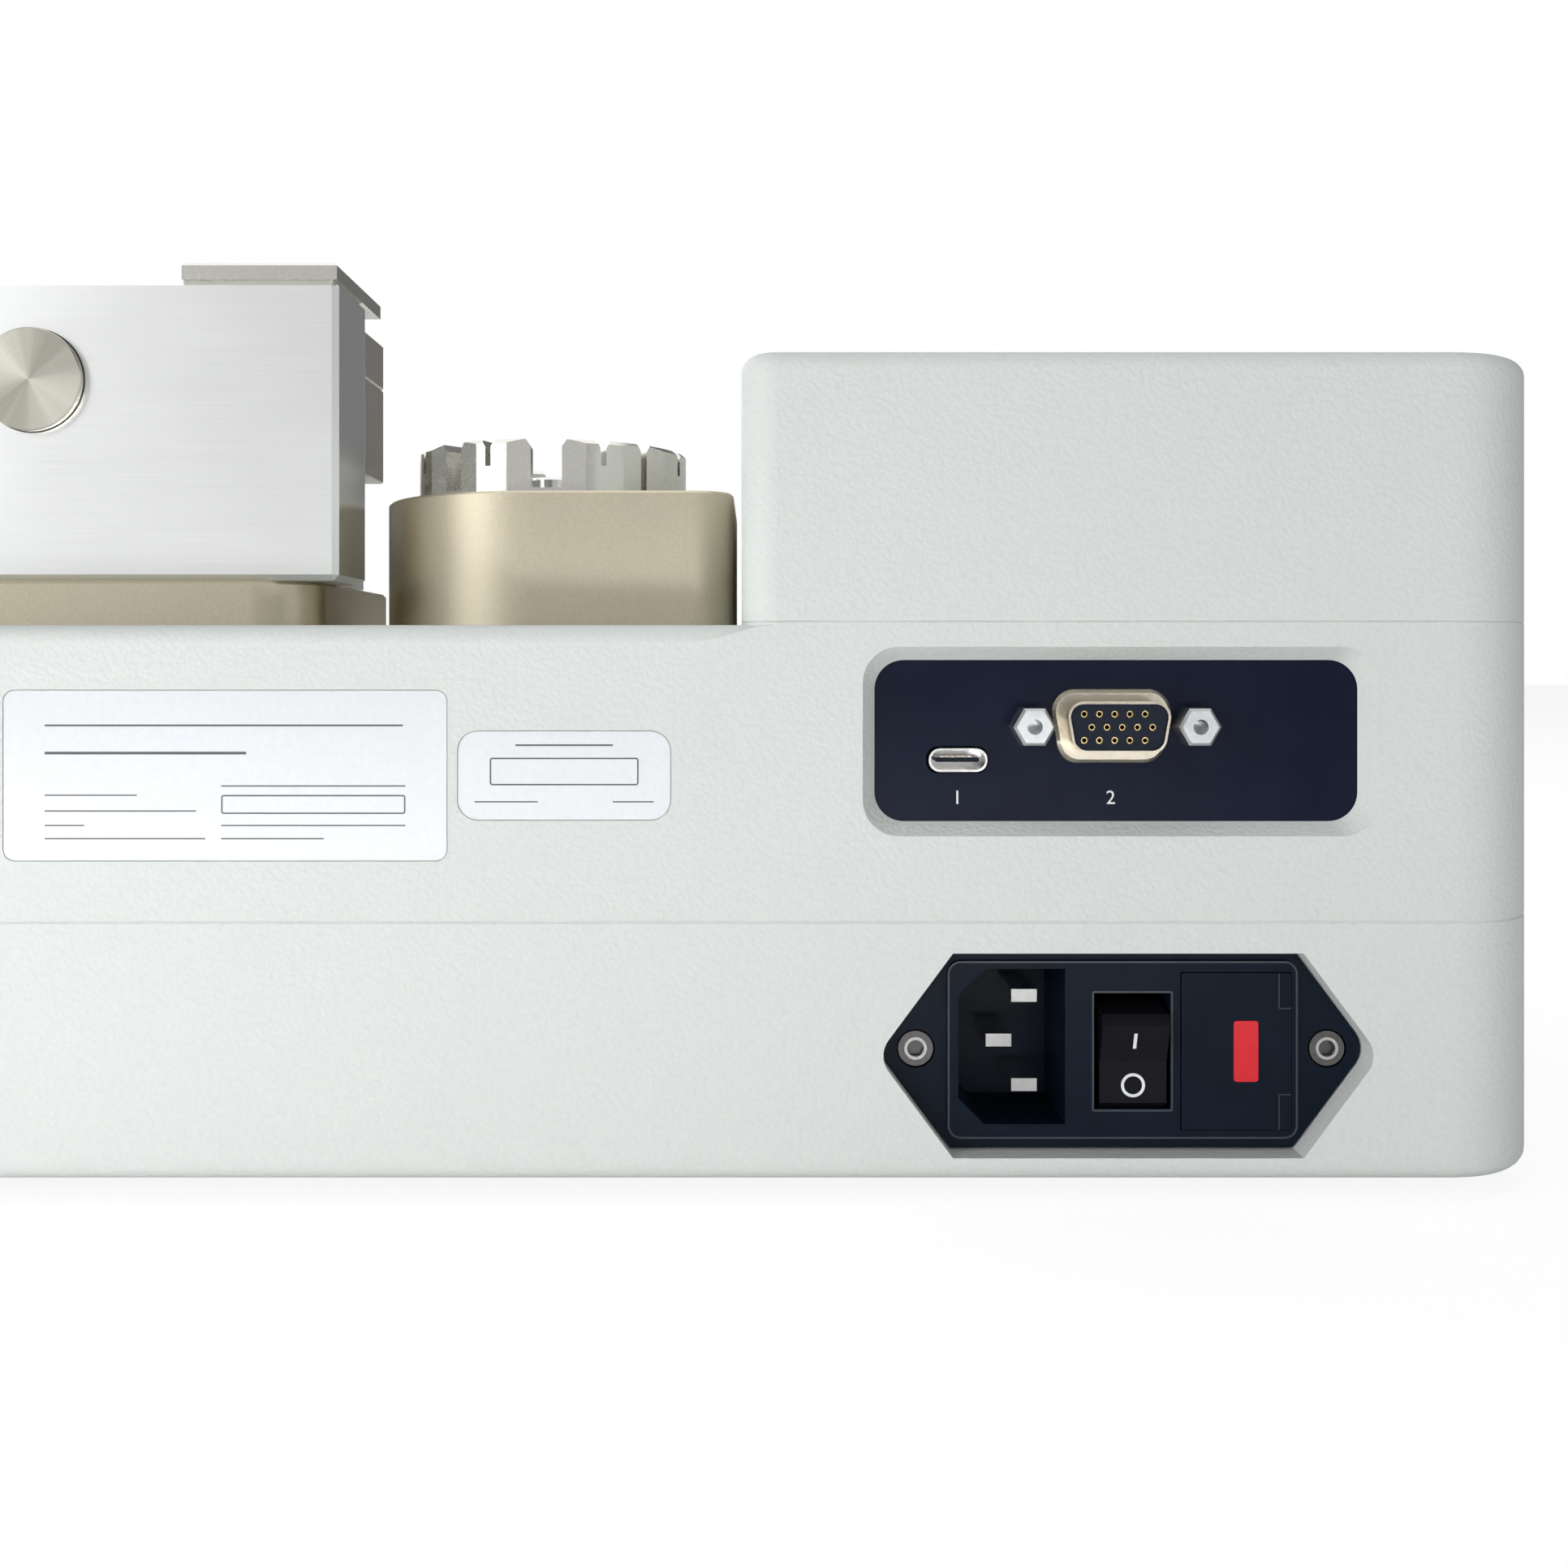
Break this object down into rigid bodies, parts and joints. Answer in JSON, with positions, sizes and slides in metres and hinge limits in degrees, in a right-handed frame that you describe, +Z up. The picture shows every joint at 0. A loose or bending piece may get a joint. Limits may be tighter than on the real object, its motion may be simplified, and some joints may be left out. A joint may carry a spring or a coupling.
{
  "type": "wire crimp pull tester",
  "caption": "Motorised bench tester that holds a crimped terminal in a slotted turret and pulls its wire with a sliding cam-lever grip to measure the force.",
  "frame": {"origin": "on the table, under the middle of the housing", "axes": "+Z up, +Y out of the rear face with the connectors, +X from the display head to the grip"},
  "size_m": [0.356, 0.2028, 0.1507],
  "materials": {
    "white_housing": "fine moulded leather grain",
    "champagne_aluminium": "bead blasted and anodised",
    "brushed_aluminium": "brushed along its length",
    "machined_aluminium": "fine machined",
    "turned_steel": "turned",
    "polished_steel": "ground and polished",
    "jaw_nickel": "ground, nickel plated",
    "warm_nickel": "nickel plated",
    "bronze": "sintered",
    "galvanised_steel": "zinc plated",
    "navy_panel": "printed film",
    "black_moulding": "smooth moulding",
    "black_grip": "satin moulding",
    "black_rubber": "moulded rubber",
    "belt_rubber": "moulded rubber",
    "label_foil": "satin label stock",
    "red_window": "clear red moulding",
    "fuse_glass": "white ceramic tube",
    "clear_window": "clear lens",
    "lcd_face": "dark screen",
    "circuit_board": "coated board",
    "grey_key": "satin key cap",
    "green_key": "satin key cap",
    "red_key": "satin key cap"
  },
  "bodies": {
    "chassis": {"base_shell": "white_housing", "middle_shell": "white_housing", "head_cover": "white_housing", "rubber_feet": "black_rubber", "chassis_plate": "galvanised_steel", "chassis_fasteners": "galvanised_steel", "frame_plates": "machined_aluminium", "guide_rails": "polished_steel", "screw_bearings": "galvanised_steel", "drive_belt": "belt_rubber", "drive_motor": "black_moulding", "load_cell": "machined_aluminium", "fixture_pedestal": "champagne_aluminium", "turret_screw": "turned_steel", "io_panel": "navy_panel", "io_connector_shell": "warm_nickel", "io_connector_insert": "black_moulding", "io_jackscrews": "galvanised_steel", "usb_port_shell": "polished_steel", "usb_port_tongue": "black_moulding", "io_board": "circuit_board", "power_inlet_body": "black_moulding", "power_inlet_pins": "polished_steel", "inlet_screws": "galvanised_steel", "rear_plates": "label_foil", "display_overlay": "navy_panel", "display_glass": "clear_window", "lcd_module": "lcd_face", "key_board": "circuit_board", "main_board": "circuit_board", "power_supply": "circuit_board", "motor_driver_board": "circuit_board"},
    "carriage": {"nut_block": "machined_aluminium", "drive_nut_and_bushes": "bronze", "carriage_post": "machined_aluminium", "grip_base_plate": "champagne_aluminium", "grip_screws": "turned_steel", "grip_housing": "brushed_aluminium", "anvil_jaws": "jaw_nickel", "jaw_cover_plate": "machined_aluminium", "clamp_rod": "turned_steel", "cam_pin": "polished_steel", "guide_pins": "polished_steel"},
    "lead_screw": {"lead_screw": "polished_steel"},
    "motor_shaft": {"motor_shaft": "polished_steel"},
    "clamp_lever": {"cam_lever": "turned_steel", "lever_grip": "black_grip"},
    "clamp_block": {"clamp_block": "brushed_aluminium", "moving_jaw": "jaw_nickel", "cam_wear_plate": "turned_steel", "jaw_springs": "polished_steel"},
    "turret": {"terminal_turret": "machined_aluminium"},
    "rocker": {"switch_rocker": "black_moulding"},
    "fuse_drawer": {"fuse_drawer": "black_moulding", "fuses": "fuse_glass", "fuse_window": "red_window"},
    "key_down": {"key_down": "grey_key"},
    "key_up": {"key_up": "grey_key"},
    "key_start": {"key_start": "green_key"},
    "key_stop": {"key_stop": "red_key"}
  },
  "joints": [
    {"name": "grip_travel", "type": "slide", "parent": "chassis", "child": "carriage", "axis": [1, 0, 0], "range_m": [0, 0.05]},
    {"name": "screw_turn", "type": "hinge", "parent": "chassis", "child": "lead_screw", "pos_m": [0.1, 0.04, 0.063], "axis": [1, 0, 0], "range_deg": [0, 3610]},
    {"name": "motor_turn", "type": "hinge", "parent": "chassis", "child": "motor_shaft", "pos_m": [0.15, 0.04, 0.02965], "axis": [1, 0, 0], "range_deg": [0, 7220]},
    {"name": "clamp_lever_swing", "type": "hinge", "parent": "carriage", "child": "clamp_lever", "pos_m": [0.0687, -0.0011, 0.1304], "axis": [0, 0, 1], "range_deg": [0, 90]},
    {"name": "jaw_close", "type": "slide", "parent": "carriage", "child": "clamp_block", "axis": [0, 1, 0], "range_m": [0, 0.0057], "deforming": ["jaw_springs"]},
    {"name": "turret_turn", "type": "hinge", "parent": "chassis", "child": "turret", "pos_m": [-0.01665, 0.04, 0.112], "axis": [0, 0, 1], "continuous": true},
    {"name": "rocker_tip", "type": "hinge", "parent": "chassis", "child": "rocker", "pos_m": [-0.1132, 0.0893, 0.0221], "axis": [1, 0, 0], "range_deg": [0, 22]},
    {"name": "fuse_drawer_slide", "type": "slide", "parent": "chassis", "child": "fuse_drawer", "axis": [0, 1, 0], "range_m": [0, 0.02]},
    {"name": "key_down_press", "type": "slide", "parent": "chassis", "child": "key_down", "axis": [0, 0.3056, -0.9522], "range_m": [0, 0.001], "stiffness_N_per_m": 400},
    {"name": "key_up_press", "type": "slide", "parent": "chassis", "child": "key_up", "axis": [0, 0.3056, -0.9522], "range_m": [0, 0.001], "stiffness_N_per_m": 400},
    {"name": "key_start_press", "type": "slide", "parent": "chassis", "child": "key_start", "axis": [0, 0.3056, -0.9522], "range_m": [0, 0.001], "stiffness_N_per_m": 400},
    {"name": "key_stop_press", "type": "slide", "parent": "chassis", "child": "key_stop", "axis": [0, 0.3056, -0.9522], "range_m": [0, 0.001], "stiffness_N_per_m": 400}
  ],
  "couplings": [
    {"joint": "screw_turn", "follows": "grip_travel", "rad_per_m": 1256.6},
    {"joint": "motor_turn", "follows": "grip_travel", "rad_per_m": 2513.3},
    {"joint": "jaw_close", "follows": "clamp_lever_swing", "m_per_rad": 0.0035651}
  ]
}
